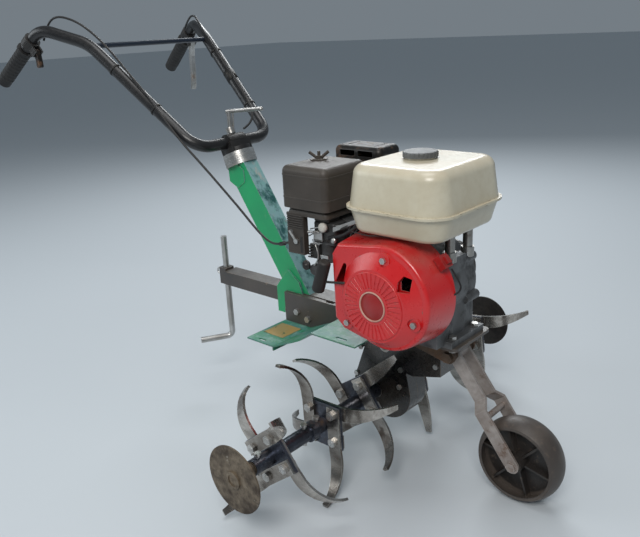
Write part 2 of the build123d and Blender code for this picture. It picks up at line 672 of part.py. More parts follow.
def wheel():
    """Moulded transport wheel: broad crowned tread, a thin web, six ribs and a hub."""
    half = WHEEL_WIDTH / 2
    section = make_face(
        ShapeList(
            Line((68, -half), (74, -half)).edges()
            + ThreePointArc((74, -half), (WHEEL_R, 0), (74, half)).edges()
            + Line((74, half), (68, half)).edges()
            + ThreePointArc((68, half), (75, 0), (68, -half)).edges()
        )
    )
    rim = revolve(Plane.XZ * section, Axis.Z)
    shape = rim + Cylinder(16, 62) + Cylinder(76, 4)
    for k in range(6):
        shape += Rot(0, 0, 60 * k) * Pos(43, 0, 0) * Box(60, 4, 34)
    shape -= Cylinder(5.08, 80)
    return Plane(origin=(WHEEL_X, 0, WHEEL_Z), x_dir=(1, 0, 0), z_dir=(0, 1, 0)) * Rot(0, 0, 12) * shape


# ---- depth stake --------------------------------------------------------------------------------
def depth_stake():
    """Round bar bent into a foot that points out and back."""
    foot_reach, top, low = 82.0, 380.0, 114.0
    tip = (STAKE_X - 0.5 * foot_reach, -0.866 * foot_reach, low)
    route = FilletPolyline((STAKE_X, 0, top), (STAKE_X, 0, low), tip, radius=14)
    return sweep(Plane(origin=(STAKE_X, 0, top), z_dir=(0, 0, -1)) * Circle(STAKE_R), path=route)


# ---- engine -------------------------------------------------------------------------------------
CASE_FRONT, SEAM_Y, COVER_BACK = -112.0, -20.0, 28.0
CYL_LEAN = 25.0


def rounded_block(x0, x1, y0, y1, z0, z1, radius):
    """Box with its edges rounded, except those on the bottom."""
    shape = block(x0, x1, y0, y1, z0, z1)
    keep = shape.edges().filter_by(Axis.Z) + shape.faces().sort_by(Axis.Z)[-1].edges()
    return fillet(ShapeList(keep), radius)


def cylinder_frame():
    """Frame of the leaning cylinder: Z from the crankshaft out along the bore."""
    a = radians(CYL_LEAN)
    middle = (CASE_FRONT + SEAM_Y) / 2
    return Plane(origin=(CRANK_X, middle, CRANK_Z), x_dir=(sin(a), 0, cos(a)), z_dir=(-cos(a), 0, sin(a)))


cylinder_plane = cylinder_frame()


def body_outline():
    """Crankcase seen from the shaft end."""
    shape = face((62, 306), (206, 306), (206, 462), (76, 462), (62, 440))
    return shape + spot(CRANK_X + 2, CRANK_Z - 4, 80)


def crankcase():
    """Casting with its feet; the fan side is at low Y."""
    body = slab(body_outline(), CASE_FRONT, SEAM_Y)
    body += block(40, 220, -86, 26, DECK_Z, DECK_Z + 12)
    body -= slab(spot(CRANK_X, CRANK_Z, 62), CASE_FRONT + 8, SEAM_Y + 1)
    body -= axle(CRANK_X, CRANK_Z, CRANK_R + 0.06, -200, 100)
    for x in FEET_X:
        for y in FEET_Y:
            body -= rod((x, y, 280), (x, y, 320), 4.5)
            body -= rod((x, y, DECK_Z + 12), (x, y, 330), 9)
    body -= block(0, 300, SEAM_Y, 60, DECK_Z + 12, 500)
    for x in (84, 176):
        body += block(x - 4, x + 4, -122, CASE_FRONT, 330, 350)
    return body


def side_cover():
    """Cover on the shaft side, with its bolt bosses."""
    shape = offset(body_outline(), -4)
    cover = slab(shape, SEAM_Y, COVER_BACK - 12)
    cover += slab(spot(CRANK_X, CRANK_Z, 46), COVER_BACK - 14, COVER_BACK)
    cover -= slab(spot(CRANK_X, CRANK_Z, 56), SEAM_Y - 1, COVER_BACK - 18)
    cover -= block(0, 300, SEAM_Y - 1, COVER_BACK + 1, 200, DECK_Z + 12.2)
    for x, z in COVER_BOLTS:
        cover += slab(spot(x, z, 9), SEAM_Y, COVER_BACK - 6)
    cover -= axle(CRANK_X, CRANK_Z, CRANK_R + 0.06, -200, 100)
    return cover


COVER_BOLTS = ((196, 446), (84, 446), (204, 372), (74, 352), (140, 462), (190, 330))


def cylinder_head():
    """Finned barrel, head and rocker cover."""
    barrel = Pos(0, 0, 118) * Box(64, 64, 76)
    body = barrel + Pos(0, 0, 168) * Box(86, 84, 26) + Pos(-4, -14, 192) * Box(56, 52, 24)
    for k in range(10):
        body += Pos(0, 0, 84 + 8 * k) * Box(90, 86, 3)
    barrel = cylinder_plane * body
    return barrel - slab(offset(body_outline(), 0.3), CASE_FRONT - 5, SEAM_Y + 10)


def spark_plug_cap():
    """Plug and its boot on the head's end."""
    plug = Pos(-4, 26, 0) * (upright(5, 181.1, 205) + upright(9, 196, 226))
    return cylinder_plane * plug


def carburettor():
    """Body, float bowl, choke shaft and the bar that links the throttle."""
    body = rounded_block(-46, 6, -146, CASE_FRONT + 1, 474, 516, 5)
    body += rod((-20, -129, 440), (-20, -129, 476), 17)
    body += rod((-20, -129, 434), (-20, -129, 442), 7)
    body += rod((-13, -146, 505), (-13, -154, 508), 8)
    body += block(-60, -38, -143, -117, 440, 468)
    body += rod((4, -140, 503), (30, -134, 513), 4)
    body += rod((-48, -130, 418), (-48, -148, 418), 11) + rod((-48, -132, 418), (-48, -132, 444), 4)
    return body


def choke_lever():
    """Lever on the control panel."""
    return rod((-74, -168, 476), (-74, -163.4, 476), 5) + rod((-74, -166, 476), (-86, -170, 497), 2.6)


def air_cleaner_base():
    """Tray, duct to the carburettor and the louvred control panel below."""
    base = rounded_block(-98, 2, -163, -52, 526, 540.9, 12)
    panel = block(-98, -56, -163, -150, 450, 530)
    for k in range(6):
        panel -= block(-100, -54, -164, -161.6, 500 + 4.4 * k, 502 + 4.4 * k)
    duct = block(-44, -8, -144, -114, 516, 530)
    return base + panel + duct


def air_cleaner_cover():
    """Moulded cover with two raised lines round it and a stud boss on top."""
    cover = rounded_block(-104, 8, -169, -46, 541, 620, 13)
    cover -= rounded_block(-100, 4, -165, -50, 540, 616, 10)
    for z in (560, 602):
        ring = extrude(Pos(-48, -107.5, z) * RectangleRounded(113.6, 124.6, 13.8), 2)
        cover += ring - extrude(Pos(-48, -107.5, z - 1) * RectangleRounded(110, 121, 12), 4)
    nut = upright(17, 619, 622) + upright(3, 621, 636) + upright(6.5, 622, 628)
    for side in (1, -1):
        nut += rod((side * 4, side * 3, 624), (side * 15, side * 11, 635), 3)
    return cover + Pos(-72, -92, 0) * nut


def muffler():
    body = rounded_block(-92, 12, -14, 44, 500, 610, 14)
    return body + rod((-92, 30, 520), (-106, 30, 520), 11)


def muffler_guard():
    """Slotted guard over the muffler."""
    guard = rounded_block(-98, 18, -20, 50, 556, 636, 12)
    guard -= rounded_block(-96, 16, -18, 48, 540, 634, 10)
    for x in (-80, -36):
        guard -= block(x, x + 36, -30, -10, 617, 628)
    for x in (-74, -8):
        guard -= block(x, x + 3, -6, 38, 610, 650)
    return guard


TANK_X, TANK_Y = 150.0, -67.5
TANK_LONG, TANK_WIDE = 212.0, 232.0
TANK_SEAM, TANK_LOW, TANK_TOP = 562.0, 516.0, 636.0
CAP_X, CAP_Y = 142.0, -67.0


def tank_body(inset):
    """Tank without its seam, inset all round."""
    size = (TANK_LONG - 8 - 2 * inset, TANK_WIDE - 8 - 2 * inset)
    outline_2d = RectangleRounded(*size, 46)
    upper = extrude(Pos(TANK_X, TANK_Y, TANK_SEAM) * outline_2d, TANK_TOP - inset - TANK_SEAM, taper=8)
    upper = fillet(upper.faces().sort_by(Axis.Z)[-1].edges(), 20 - inset)
    lower = extrude(
        Plane(origin=(TANK_X, TANK_Y, TANK_SEAM), z_dir=(0, 0, -1)) * outline_2d,
        TANK_SEAM - TANK_LOW - inset, taper=16,
    )
    lower = fillet(lower.faces().sort_by(Axis.Z)[0].edges(), 12 - inset)
    return upper + lower


def fuel_tank():
    tank = tank_body(0)
    seam = extrude(Pos(TANK_X, TANK_Y, TANK_SEAM - 2) * RectangleRounded(TANK_LONG + 3, TANK_WIDE + 3, 51), 4)
    tank += seam
    tank += Pos(CAP_X, CAP_Y, 0) * upright(27, TANK_TOP - 4, TANK_TOP + 3)
    tank -= tank_body(3)
    return tank - Pos(CAP_X, CAP_Y, 0) * upright(20, TANK_TOP - 20, TANK_TOP + 9)


def fuel_cap():
    """Knurled cap with its seal inside the neck."""
    cap = upright(31, TANK_TOP + 3 + GAP, TANK_TOP + 13) + upright(19.7, TANK_TOP - 6, TANK_TOP + 5)
    cap = fillet(cap.faces().sort_by(Axis.Z)[-1].edges(), 3)
    for k in range(24):
        cap -= Rot(0, 0, 15 * k) * Pos(32, 0, 0) * upright(2.2, TANK_TOP + 5, TANK_TOP + 30)
    return Pos(CAP_X, CAP_Y, 0) * cap


POSTS = ((196, -56, 454), (86, -60, 454), (196, 4, 450), (88, 4, 450))


def tank_posts():
    posts = []
    keep_out = [crankcase(), side_cover(), tank_body(0)]
    for x, y, z in POSTS:
        post = rod((x, y, z), (x, y, TANK_LOW + 2), 9) + rod((x, y, z), (x, y, z + 18), 12)
        for solid in keep_out:
            post -= solid
        posts.append(post.solids().sort_by(SortBy.VOLUME)[-1])
    return group(*posts)


FAN_X, FAN_Z, FAN_R = 141.0, 411.0, 95.0
FAN_FRONT = -184.0


def fan_outline():
    shape = face((52, 334), (32, 352), (30, 474), (44, 494), (FAN_X, FAN_Z + FAN_R), (FAN_X, FAN_Z - FAN_R))
    return shape + spot(FAN_X, FAN_Z, FAN_R)


def fan_shell(inset, y0):
    """Tapered cover solid that widens towards the crankcase."""
    sketch = offset(fan_outline(), -inset) if inset else fan_outline()
    place = Plane(origin=(0, y0, 0), x_dir=(-1, 0, 0), z_dir=(0, 1, 0))
    turned = mirror(sketch, Plane.YZ)
    return extrude(place * turned, CASE_FRONT - 0.3 - y0, taper=-6)


COVER_WINDOW = face((181, 436), (203, 436), (205, 460), (190, 464), (181, 452))
ROPE_SLOT = hull((43, 424, 5), (52, 424, 5), (60, 458, 4))


def fan_cover():
    """Red cooling cover: hollow, with the air opening behind the starter and two windows."""
    cover = fan_shell(0, FAN_FRONT)
    rim = cover.faces().sort_by(Axis.Y)[0].edges()
    cover = fillet(rim, 6)
    cover -= fan_shell(3, FAN_FRONT + 3)
    cover -= axle(STARTER_X, STARTER_Z, 48, FAN_FRONT - 2, FAN_FRONT + 6)
    cover -= slab(COVER_WINDOW, FAN_FRONT - 2, FAN_FRONT + 6) + slab(ROPE_SLOT, FAN_FRONT - 2, FAN_FRONT + 6)
    for x, z in FAN_BOLTS:
        cover -= axle(x, z, 3.2, FAN_FRONT - 2, FAN_FRONT + 6)
    return cover


STARTER_X, STARTER_Z, STARTER_R = 130.0, 399.0, 66.0
FAN_BOLTS = ((150, 484), (211, 382), (66, 352))


def starter_cone(y0, y1, inset):
    """Skewed cone from the starter's face back to its seat on the fan cover."""
    front = Plane.XZ.offset(-y0) * Pos(STARTER_X, STARTER_Z) * Circle(STARTER_R - inset)
    back = Plane.XZ.offset(-y1) * Pos(FAN_X - 2, FAN_Z - 3) * Circle(86 - inset)
    return loft([front.face(), back.face()])


def recoil_housing():
    """Ribbed starter dome on a conical seat, with pockets for its three bolts."""
    y0, y1 = FAN_FRONT - 14, FAN_FRONT - 0.1
    dome = starter_cone(y0 + 2, y1, 0)
    dome += axle(STARTER_X, STARTER_Z, STARTER_R - 4, y0, y0 + 4)
    dome = fillet(dome.faces().sort_by(Axis.Y)[0].edges(), 1.6)
    dome -= starter_cone(y0 + 5, y1 + 0.5, 4)
    for x, z in FAN_BOLTS:
        dome += axle(x, z, 12, y1 - 5, y1)
        dome -= axle(x, z, 11, y0 - 1, y1 - 5)
    dome -= axle(STARTER_X, STARTER_Z, 28, y0 - 1, y0 + 1.5)
    for k in range(36):
        a = radians(10 * k)
        inner, outer = 33.0, STARTER_R - 6
        start = (STARTER_X + inner * cos(a), y0, STARTER_Z + inner * sin(a))
        end = (STARTER_X + outer * cos(a), y0, STARTER_Z + outer * sin(a))
        dome -= rod(start, end, 1.6)
    dome -= slab(COVER_WINDOW, y0 - 1, y1 + 1) + slab(ROPE_SLOT, y0 - 1, y1 + 1)
    dome -= rod((20, ROPE_Y, 419.8), (110, ROPE_Y, 433.7), 3.2)
    for x, z in FAN_BOLTS:
        dome -= axle(x, z, 3.2, y0 - 5, y1 + 5)
    return dome


ROPE_Y = FAN_FRONT - 5.5
GRIP_X, GRIP_Z = 8.0, 418.0


def starter_grip():
    """Pull grip with the rope's end."""
    low, top = (GRIP_X - 9, ROPE_Y - 2, GRIP_Z - 19), (GRIP_X + 12, ROPE_Y - 2, GRIP_Z + 42)
    grip = rod(low, top, 12)
    grip = fillet(grip.edges(), 5)
    return grip + rod((GRIP_X, ROPE_Y, GRIP_Z), (150, ROPE_Y, 439.9), 2.2)


def engine_bolts():
    """Foot bolts, fan cover screws and side cover bolts."""
    pieces = []
    for x in FEET_X:
        for y in FEET_Y:
            top = DECK_Z + 12
            bolt = rod((x, y, DECK_Z - 14), (x, y, top + 6), BOLT_R)
            bolt += Pos(x, y, top) * extrude(RegularPolygon(6.5, 6, major_radius=False), 6)
            nut = Pos(x, y, DECK_Z - 13) * extrude(RegularPolygon(6.5, 6, major_radius=False), 6.9)
            pieces += [bolt, nut - rod((x, y, 270), (x, y, 300), BOLT_R + 0.05)]
    for x, z in FAN_BOLTS:
        y = FAN_FRONT - 5.1
        screw = axle(x, z, 3, y - 1, FAN_FRONT + 8) + hexagon(x, z, 10, y - 5, y - 0.05)
        pieces.append(screw)
    for x, z in COVER_BOLTS:
        y = COVER_BACK - 6
        pieces.append(hexagon(x, z, 11, y + 0.02, y + 5) + axle(x, z, 6.5, y + 0.02, y + 1.5))
    return group(*pieces)


def crankshaft():
    shaft = axle(CRANK_X, CRANK_Z, CRANK_R, -160, BELT_Y1 + 4)
    shaft += axle(CRANK_X, CRANK_Z, 32, -92, -80) + axle(CRANK_X, CRANK_Z, 32, -56, -44)
    return shaft


def flywheel():
    """Flywheel with its fan blades."""
    wheel_body = axle(CRANK_X, CRANK_Z, 70, -134, -124) + axle(CRANK_X, CRANK_Z, 24, -158, -120)
    for k in range(12):
        a = radians(30 * k)
        vane = Pos(0, 0, 0) * Box(24, 3, 20)
        at = Plane(origin=(CRANK_X + 56 * cos(a), -144, CRANK_Z + 56 * sin(a)),
                   x_dir=(cos(a), 0, sin(a)), z_dir=(0, 1, 0))
        wheel_body += at * vane
    return wheel_body - axle(CRANK_X, CRANK_Z, CRANK_R + 0.05, -200, 0)


def engine_switch():
    """Stop switch box on the fan cover's shoulder."""
    reach, turn = FAN_R + 15, 38
    place = Pos(FAN_X + reach * cos(radians(turn)), -128, FAN_Z + reach * sin(radians(turn)))
    return place * Rot(0, -turn, 0) * (Box(14, 22, 24) + Pos(9, 0, 0) * Box(8, 10, 14))


# ---- output -------------------------------------------------------------------------------------
def make_nodes():
    fender = left_fender()
    nodes = {
        "left_rail": frame_rail(), "engine_deck": engine_deck(), "drawbar": drawbar(),
        "frame_bolts": frame_bolts(), "left_fender": fender - belt_window(),
        "right_fender": mirrored(fender), "column": column(), "index_ring": index_ring(),
        "gear_case": gear_case(), "gear_case_cover": gear_case_cover(),
        "shaft_bearings": shaft_bearings(), "drive_chain": drive_chain(),
        "crankcase": crankcase(), "side_cover": side_cover(), "cylinder_head": cylinder_head(),
        "spark_plug_cap": spark_plug_cap(), "carburettor": carburettor(),
        "air_cleaner_base": air_cleaner_base(), "air_cleaner_cover": air_cleaner_cover(),
        "muffler": muffler(), "muffler_guard": muffler_guard(), "fuel_tank": fuel_tank(),
        "tank_posts": tank_posts(), "fan_cover": fan_cover(), "recoil_housing": recoil_housing(),
        "engine_bolts": engine_bolts(), "drive_belt": drive_belt(), "belt_guard": belt_guard(),
        "wheel_bracket": wheel_bracket(), "control_cables": control_cables(),
        "engine_switch": engine_switch(),
        "tine_axle": tine_axle(), "right_hubs": hubs(RIGHT_TURN), "right_tines": tines(RIGHT_TURN),
        "hub_discs": hub_discs(), "tine_bolts": tine_bolts(),
        "input_shaft": input_shaft(), "driven_pulley": driven_pulley(),
        "crankshaft": crankshaft(), "flywheel": flywheel(), "drive_pulley": drive_pulley(),
        "belt_idler": belt_idler(), "wheel_fork": wheel_fork(), "wheel": wheel(),
        "depth_stake": depth_stake(),
        "handlebar": handlebar(), "crossbar": crossbar(), "grips": grips(), "saddle": saddle(),
        "lever_clamps": lever_clamps(), "bar_cables": bar_cables(), "clamp_handle": clamp_handle(),
        "clutch_lever": clutch_lever(), "throttle_lever": throttle_lever(),
        "starter_grip": starter_grip(), "choke_lever": choke_lever(), "fuel_cap": fuel_cap(),
    }
    nodes["right_rail"] = mirrored(nodes["left_rail"])
    nodes["left_hubs"] = mirrored(hubs(LEFT_TURN))
    nodes["left_tines"] = mirrored(tines(LEFT_TURN))
    return nodes


def write_parts():
    nodes = make_nodes()
    boxes = [shape.bounding_box() for shape in nodes.values()]
    low = [min(getattr(b.min, axis) for b in boxes) for axis in "XYZ"]
    high = [max(getattr(b.max, axis) for b in boxes) for axis in "XYZ"]
    shift = Vector(-(low[0] + high[0]) / 2, -(low[1] + high[1]) / 2, -low[2])
    print("nodes", len(nodes), "box", [round(a, 1) for a in low], [round(a, 1) for a in high])
    print("origin shift", *[round(a, 4) for a in (shift.X, shift.Y, shift.Z)])
    for name, shape in nodes.items():
        moved = Location(shift) * shape
        moved.label = name
        export_step(moved, "parts/" + name + ".step")
    return shift


if __name__ == "__main__":
    write_parts()
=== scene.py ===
"""Walk-behind tiller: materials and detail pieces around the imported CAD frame."""
import bmesh
import bpy
from math import cos, pi, radians, sin
from mathutils import Matrix, Vector


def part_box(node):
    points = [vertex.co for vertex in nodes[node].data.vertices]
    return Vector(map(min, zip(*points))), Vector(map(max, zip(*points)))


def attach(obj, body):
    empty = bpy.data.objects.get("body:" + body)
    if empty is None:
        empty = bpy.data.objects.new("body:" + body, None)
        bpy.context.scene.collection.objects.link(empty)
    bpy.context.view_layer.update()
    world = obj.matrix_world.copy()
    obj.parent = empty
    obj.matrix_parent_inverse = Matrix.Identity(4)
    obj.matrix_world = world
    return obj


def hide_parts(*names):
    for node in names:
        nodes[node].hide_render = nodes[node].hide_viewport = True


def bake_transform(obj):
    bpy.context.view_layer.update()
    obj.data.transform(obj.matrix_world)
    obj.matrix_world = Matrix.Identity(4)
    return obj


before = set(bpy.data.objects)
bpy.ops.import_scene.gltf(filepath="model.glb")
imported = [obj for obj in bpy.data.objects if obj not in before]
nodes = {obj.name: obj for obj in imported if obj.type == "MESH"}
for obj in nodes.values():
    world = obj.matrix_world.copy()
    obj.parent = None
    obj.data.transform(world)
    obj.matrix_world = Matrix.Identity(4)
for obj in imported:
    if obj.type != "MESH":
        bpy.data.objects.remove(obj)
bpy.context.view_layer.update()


# ---- places -------------------------------------------------------------------------------------
# The machine frame has its origin under the tine axle, X forward, Y left, Z up, in millimetres.
AXLE_Z = 124.0
low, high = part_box("tine_axle")
centre = (Vector(low) + Vector(high)) / 2
ORIGIN = Vector((centre.x, 0, centre.z - AXLE_Z / 1000))


def at(x, y, z):
    return ORIGIN + Vector((x, y, z)) / 1000


# ---- camera, floor and light --------------------------------------------------------------------
SENSOR_MM, LENS_MM = 36.0, 40.37
CAMERA_PLACE = (842.7, -1098.6, 862.5)
CAMERA_YAW, CAMERA_PITCH, CAMERA_ROLL = 47.36, 18.75, -2.94


def make_camera():
    cam = bpy.data.cameras.new("camera")
    cam.sensor_width = SENSOR_MM
    cam.lens = LENS_MM
    cam.clip_start = 0.05
    obj = bpy.data.objects.new("camera", cam)
    bpy.context.scene.collection.objects.link(obj)
    yaw, pitch, roll = radians(CAMERA_YAW), radians(CAMERA_PITCH), radians(CAMERA_ROLL)
    look = Vector((-cos(yaw) * cos(pitch), sin(yaw) * cos(pitch), -sin(pitch)))
    right = look.cross(Vector((0, 0, 1))).normalized()
    up = right.cross(look)
    right, up = cos(roll) * right + sin(roll) * up, -sin(roll) * right + cos(roll) * up
    turn = Matrix((right, up, -look)).transposed()
    obj.matrix_world = Matrix.Translation(at(*CAMERA_PLACE)) @ turn.to_4x4()
    bpy.context.scene.camera = obj


def area_light(name, place, target, size, power, tint=(1, 1, 1)):
    light = bpy.data.lights.new(name, "AREA")
    light.shape = "RECTANGLE"
    light.size, light.size_y = size
    light.energy = power
    light.color = tint
    obj = bpy.data.objects.new(name, light)
    bpy.context.scene.collection.objects.link(obj)
    obj.location = place
    obj.rotation_euler = (Vector(target) - Vector(place)).to_track_quat("-Z", "Y").to_euler()


def make_stage():
    bpy.ops.mesh.primitive_plane_add(size=60, location=(0, 0, 0))
    floor = bpy.context.object
    floor.name = "floor"
    mat = bpy.data.materials.new("floor")
    mat.use_nodes = True
    shader = mat.node_tree.nodes["Principled BSDF"]
    shader.inputs["Base Color"].default_value = (0.56, 0.60, 0.63, 1)
    shader.inputs["Roughness"].default_value = 0.7
    floor.data.materials.append(mat)
    world = bpy.data.worlds.new("studio")
    world.use_nodes = True
    back = world.node_tree.nodes["Background"]
    back.inputs["Color"].default_value = (0.55, 0.64, 0.72, 1)
    back.inputs["Strength"].default_value = 0.32
    bpy.context.scene.world = world
    bpy.context.scene.view_settings.view_transform = "Standard"
    area_light("key", (1.6, -2.2, 2.6), (0, 0, 0.4), (1.5, 1.1), 62, (1.0, 0.98, 0.95))
    area_light("fill", (-2.2, -1.8, 1.6), (0, 0, 0.4), (1.8, 1.4), 20, (0.9, 0.96, 1.0))
    area_light("rim", (-1.4, 2.4, 2.2), (0, 0, 0.4), (1.8, 1.0), 42, (0.95, 0.98, 1.0))
    area_light("top", (0.2, -0.2, 3.0), (0, 0, 0.3), (1.6, 1.6), 24)


# ---- materials ----------------------------------------------------------------------------------
class Graph:
    """Small builder for a node material on object coordinates."""

    def __init__(self, name):
        self.mat = bpy.data.materials.new(name)
        self.mat.use_nodes = True
        self.tree = self.mat.node_tree
        self.shader = self.tree.nodes["Principled BSDF"]
        self.coord = self.tree.nodes.new("ShaderNodeTexCoord").outputs["Object"]

    def node(self, kind, values=None, **props):
        node = self.tree.nodes.new(kind)
        for key, value in props.items():
            setattr(node, key, value)
        for key, value in (values or {}).items():
            if isinstance(value, bpy.types.NodeSocket):
                self.tree.links.new(value, node.inputs[key])
            else:
                node.inputs[key].default_value = value
        return node

    def stretched(self, stretch):
        return self.node("ShaderNodeMapping", {"Vector": self.coord, "Scale": stretch}).outputs[0]

    def noise(self, scale, detail=4.0, stretch=None, rough=0.55):
        where = self.stretched(stretch) if stretch else self.coord
        values = {"Vector": where, "Scale": scale, "Detail": detail, "Roughness": rough}
        return self.node("ShaderNodeTexNoise", values).outputs["Fac"]

    def span(self, value, low, high, to_low=0.0, to_high=1.0):
        values = {"Value": value, "From Min": low, "From Max": high, "To Min": to_low, "To Max": to_high}
        return self.node("ShaderNodeMapRange", values).outputs["Result"]

    def maths(self, op, a, b):
        return self.node("ShaderNodeMath", {0: a, 1: b}, operation=op).outputs[0]

    def blend(self, share, a, b):
        mix = self.node("ShaderNodeMix", data_type="RGBA")
        for key, value in ((0, share), (6, a), (7, b)):
            if isinstance(value, bpy.types.NodeSocket):
                self.tree.links.new(value, mix.inputs[key])
            else:
                mix.inputs[key].default_value = value if key == 0 else (*value, 1)
        return mix.outputs[2]

    def facing(self, direction, low, high):
        """Share of a surface that faces a direction."""
        normal = self.node("ShaderNodeNewGeometry").outputs["True Normal"]
        dot = self.node("ShaderNodeVectorMath", {0: normal, 1: direction}, operation="DOT_PRODUCT")
        return self.span(dot.outputs["Value"], low, high)

    def edges(self, radius, low=0.002, high=0.05):
        """Share that grows towards an edge or corner."""
        soft = self.node("ShaderNodeBevel", {"Radius": radius}, samples=6).outputs[0]
        hard = self.node("ShaderNodeNewGeometry").outputs["Normal"]
        dot = self.node("ShaderNodeVectorMath", {0: soft, 1: hard}, operation="DOT_PRODUCT")
        off = self.maths("SUBTRACT", 1.0, dot.outputs["Value"])
        return self.span(off, low, high)

    def chipped(self, bared):
        """Fine relief of enamel that drops where the metal is bare."""
        peel = self.maths("MULTIPLY", self.noise(420.0, 3.0), 0.25)
        return self.maths("SUBTRACT", peel, self.maths("MULTIPLY", bared, 0.5))

    def surface(self, color=None, rough=None, metal=None, bump=None, depth=0.0004, **fixed):
        links = self.tree.links
        for key, value in (("Base Color", color), ("Roughness", rough), ("Metallic", metal)):
            if isinstance(value, bpy.types.NodeSocket):
                links.new(value, self.shader.inputs[key])
            elif value is not None:
                self.shader.inputs[key].default_value = (*value, 1) if key == "Base Color" else value
        for key, value in fixed.items():
            self.shader.inputs[key.replace("_", " ")].default_value = value
        if bump is not None:
            relief = self.node("ShaderNodeBump", {"Height": bump, "Strength": 1.0, "Distance": depth})
            links.new(relief.outputs[0], self.shader.inputs["Normal"])
        return self.mat


def paint(name, main, second, bare=(0.32, 0.28, 0.24), worn=0.5, rough=0.35, edge=0.0016, coat=0.25,
          dust=(0.34, 0.31, 0.26), dusty=0.25):
    """Enamel with a faded second tone, chipped edges that show metal, and dust on top faces."""
    g = Graph(name)
    broad = g.noise(7.0, 5.0)
    fine = g.noise(85.0, 6.0)
    grain = g.noise(420.0, 3.0)
    color = g.blend(g.span(broad, 0.35, 0.7), main, second)
    color = g.blend(g.maths("MULTIPLY", g.span(fine, 0.45, 0.75), 0.35), color, second)
    chips = g.maths("MULTIPLY", g.edges(edge), g.span(fine, 0.62 - worn * 0.3, 0.72 - worn * 0.2))
    spots = g.span(g.noise(38.0, 9.0, rough=0.7), 0.74 - worn * 0.16, 0.78 - worn * 0.15)
    bared = g.maths("MAXIMUM", chips, spots)
    top = g.maths("MULTIPLY", g.facing((0, 0, 1), 0.3, 1.0), g.span(g.noise(22.0, 6.0), 0.35, 0.7, 0, dusty))
    color = g.blend(top, color, dust)
    color = g.blend(bared, color, bare)
    roughness = g.span(g.maths("ADD", fine, bared), 0.3, 1.4, rough, min(rough + 0.4, 0.9))
    relief = g.maths("SUBTRACT", g.maths("MULTIPLY", grain, 0.25), g.maths("MULTIPLY", bared, 0.6))
    return g.surface(color, roughness, g.maths("MULTIPLY", bared, 0.6), relief, 0.00025,
                     Coat_Weight=coat, Coat_Roughness=0.25)


def bare_metal(name, light, dark, rust=(0.16, 0.085, 0.045), rusty=0.35, rough=0.3, brushed=(1, 1, 1),
               metal=0.9, scale=1.0):
    """Bare steel or alloy with stains, grain and rust that gathers in patches, and a painted highlight on the
    edges.
    """
    g = Graph(name)
    broad = g.noise(11.0 * scale, 5.0)
    fine = g.noise(120.0 * scale, 6.0, brushed)
    color = g.blend(g.span(broad, 0.35, 0.68), light, dark)
    color = g.blend(g.span(fine, 0.35, 0.8, 0, 0.55), color, dark)
    patches = g.maths("MULTIPLY", g.noise(26.0 * scale, 8.0, rough=0.68), g.span(broad, 0.2, 0.7, 0.8, 1.15))
    stained = g.span(patches, 0.66 - rusty * 0.32, 0.78 - rusty * 0.25)
    color = g.blend(stained, color, rust)
    # Painted highlight: edges are blended to a lighter copy of the light tone.
    painted_edge_highlight = g.maths("MULTIPLY", g.edges(0.0012, 0.01, 0.12), 0.5)
    color = g.blend(painted_edge_highlight, color, tuple(min(1.0, c * 1.5 + 0.08) for c in light))
    roughness = g.span(g.maths("ADD", fine, stained), 0.25, 1.5, rough, min(rough + 0.45, 0.95))
    metallic = g.span(stained, 0, 1, metal, metal * 0.25)
    return g.surface(color, roughness, metallic, g.maths("ADD", fine, stained), 0.00018)


def moulding(name, main, second, rough=0.5, grain=600.0, depth=0.00015, dusty=0.25, spec=0.4,
             dust=(0.36, 0.33, 0.28)):
    """Plastic or rubber: fine grain, scuffs and dust on top faces."""
    g = Graph(name)
    broad = g.noise(9.0, 5.0)
    fine = g.noise(grain, 2.0)
    scuff = g.span(g.noise(60.0, 7.0, rough=0.7), 0.55, 0.75)
    color = g.blend(g.span(broad, 0.35, 0.7), main, second)
    color = g.blend(g.maths("MULTIPLY", scuff, 0.3), color, dust)
    top = g.maths("MULTIPLY", g.facing((0, 0, 1), 0.2, 1.0), g.span(g.noise(25.0, 6.0), 0.3, 0.7, 0, dusty))
    color = g.blend(top, color, dust)
    # Painted highlight: edges are blended towards a lighter copy of the main colour (slightly darker for the
    # pale white moulding).
    color = g.blend(g.maths("MULTIPLY", g.edges(0.001), 0.3), color, tuple(c * 0.7 + 0.12 for c in main))
    roughness = g.span(g.maths("ADD", scuff, broad), 0.2, 1.6, rough, min(rough + 0.3, 0.95))
    return g.surface(color, roughness, 0.0, fine, depth, Specular_IOR_Level=spec)


def casting(name, main, second, rough=0.55, metal=0.35, oily=(0.05, 0.04, 0.03), oil=0.4):
    """Cast surface: sandy relief, oil stains in patches."""
    g = Graph(name)
    broad = g.noise(14.0, 5.0)
    sand = g.noise(520.0, 4.0)
    color = g.blend(g.span(broad, 0.35, 0.7), main, second)
    stain = g.span(g.noise(30.0, 7.0, rough=0.65), 0.62 - oil * 0.2, 0.78 - oil * 0.1)
    color = g.blend(g.maths("MULTIPLY", stain, 0.75), color, oily)
    # Painted highlight: edges are blended to a lighter copy of the main colour.
    color = g.blend(g.maths("MULTIPLY", g.edges(0.0012), 0.35), color, tuple(c * 0.6 + 0.3 for c in main))
    roughness = g.span(g.maths("ADD", sand, stain), 0.3, 1.4, rough, min(rough + 0.3, 0.95))
    return g.surface(color, roughness, metal, sand, 0.0003)


